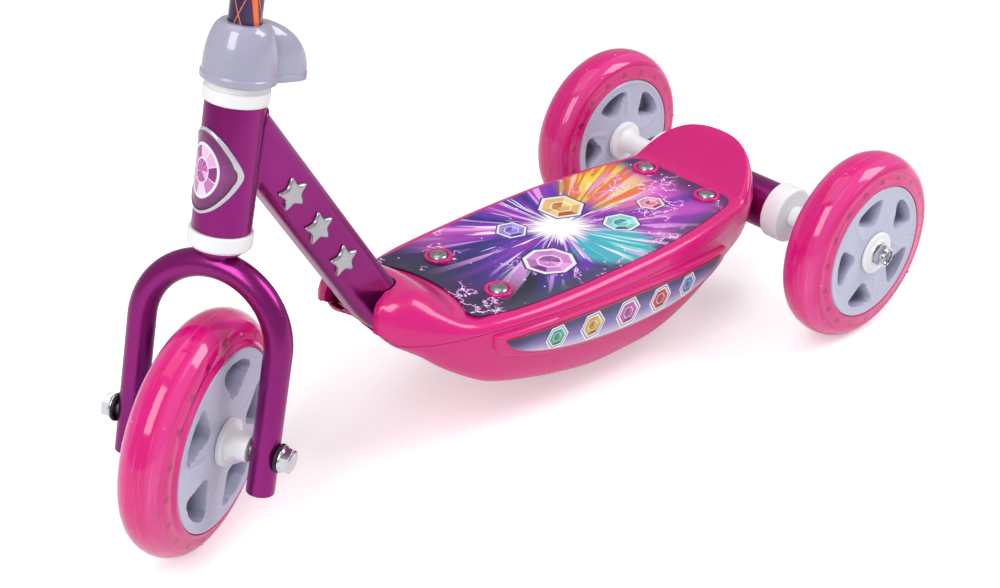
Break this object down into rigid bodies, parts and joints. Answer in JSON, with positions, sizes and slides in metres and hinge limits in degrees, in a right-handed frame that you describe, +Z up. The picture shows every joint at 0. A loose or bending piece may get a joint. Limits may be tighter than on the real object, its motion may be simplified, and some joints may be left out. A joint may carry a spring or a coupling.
{
  "type": "three wheel kids scooter",
  "caption": "Kids' push scooter with a rigid moulded deck, a steered front wheel in an arched fork, rear wheels on a fixed axle and a tall handle column.",
  "frame": {"origin": "on the ground, under the middle of the whole scooter's bounding box", "axes": "+Z up; -X is the direction of travel, so +X points to the rear wheels; +Y to the rider's right"},
  "size_m": [0.5614, 0.2732, 0.6104],
  "materials": {
    "deck_pink": "glossy injection-moulded pink",
    "frame_purple": "metallic purple powder coat",
    "column_print": "dark purple with a printed line pattern",
    "lavender_plastic": "lavender grey, satin",
    "white_plastic": "white, satin",
    "black_plastic": "black",
    "print": "printed film",
    "tyre_pink": "translucent pink, cast, with bubbles",
    "grip_rubber": "soft pink",
    "chrome": "polished",
    "emblem_silver": "bright, bevelled",
    "steel": "plain zinc-plated steel"
  },
  "bodies": {
    "frame": {"down_tube": "frame_purple", "deck_strap_front": "frame_purple", "deck_strap_rear": "frame_purple", "deck_top_shell": "deck_pink", "deck_belly_shell": "deck_pink", "deck_sheet": "print", "side_label_near": "print", "side_label_far": "print", "deck_bolt_front_near": "chrome", "deck_nut_front_near": "steel", "deck_bolt_front_far": "chrome", "deck_nut_front_far": "steel", "deck_bolt_rear_near": "chrome", "deck_nut_rear_near": "steel", "deck_bolt_rear_far": "chrome", "deck_nut_rear_far": "steel", "belly_screw_front_near": "steel", "belly_screw_front_far": "steel", "belly_screw_rear_near": "steel", "belly_screw_rear_far": "steel", "tube_emblem_1": "emblem_silver", "tube_emblem_2": "emblem_silver", "tube_emblem_3": "emblem_silver", "head_tube": "frame_purple", "head_bush_lower": "white_plastic", "head_bush_upper": "white_plastic", "head_badge": "print", "rear_cross_tube": "frame_purple", "rear_axle": "steel", "cross_tube_cap_near": "white_plastic", "rear_lock_nut_near": "chrome", "cross_tube_cap_far": "white_plastic", "rear_lock_nut_far": "chrome"},
    "steering": {"fork": "frame_purple", "handle_column": "column_print", "clamp_collar": "steel", "clamp_cap": "lavender_plastic", "clamp_bolt": "steel", "clamp_nut": "steel", "handlebar": "frame_purple", "grip_near": "grip_rubber", "grip_far": "grip_rubber", "front_axle": "steel", "fork_washer_near": "black_plastic", "fork_washer_far": "black_plastic", "dome_nut_near": "chrome", "dome_nut_far": "chrome"},
    "front_wheel": {"front_wheel_rim": "lavender_plastic", "front_wheel_tyre": "tyre_pink", "front_wheel_bush_far": "white_plastic", "front_wheel_bush_near": "white_plastic"},
    "near_rear_wheel": {"rear_wheel_near_rim": "lavender_plastic", "rear_wheel_near_tyre": "tyre_pink", "rear_wheel_near_inner_bush": "white_plastic", "rear_wheel_near_outer_bush": "white_plastic"},
    "far_rear_wheel": {"rear_wheel_far_rim": "lavender_plastic", "rear_wheel_far_tyre": "tyre_pink", "rear_wheel_far_inner_bush": "white_plastic", "rear_wheel_far_outer_bush": "white_plastic"}
  },
  "joints": [
    {"name": "steering_turn", "type": "hinge", "parent": "frame", "child": "steering", "pos_m": [-0.2164, 0, 0.06971], "axis": [0.225, 0, 0.9744], "range_deg": [-72, 18]},
    {"name": "front_wheel_spin", "type": "hinge", "parent": "steering", "child": "front_wheel", "pos_m": [-0.2164, 0, 0.06971], "axis": [-0.4423, 0.891, 0.1021], "continuous": true},
    {"name": "near_rear_wheel_spin", "type": "hinge", "parent": "frame", "child": "near_rear_wheel", "pos_m": [0.2182, -0.1107, 0.0625], "axis": [0, 1, 0], "continuous": true},
    {"name": "far_rear_wheel_spin", "type": "hinge", "parent": "frame", "child": "far_rear_wheel", "pos_m": [0.2182, 0.1107, 0.0625], "axis": [0, 1, 0], "continuous": true}
  ]
}
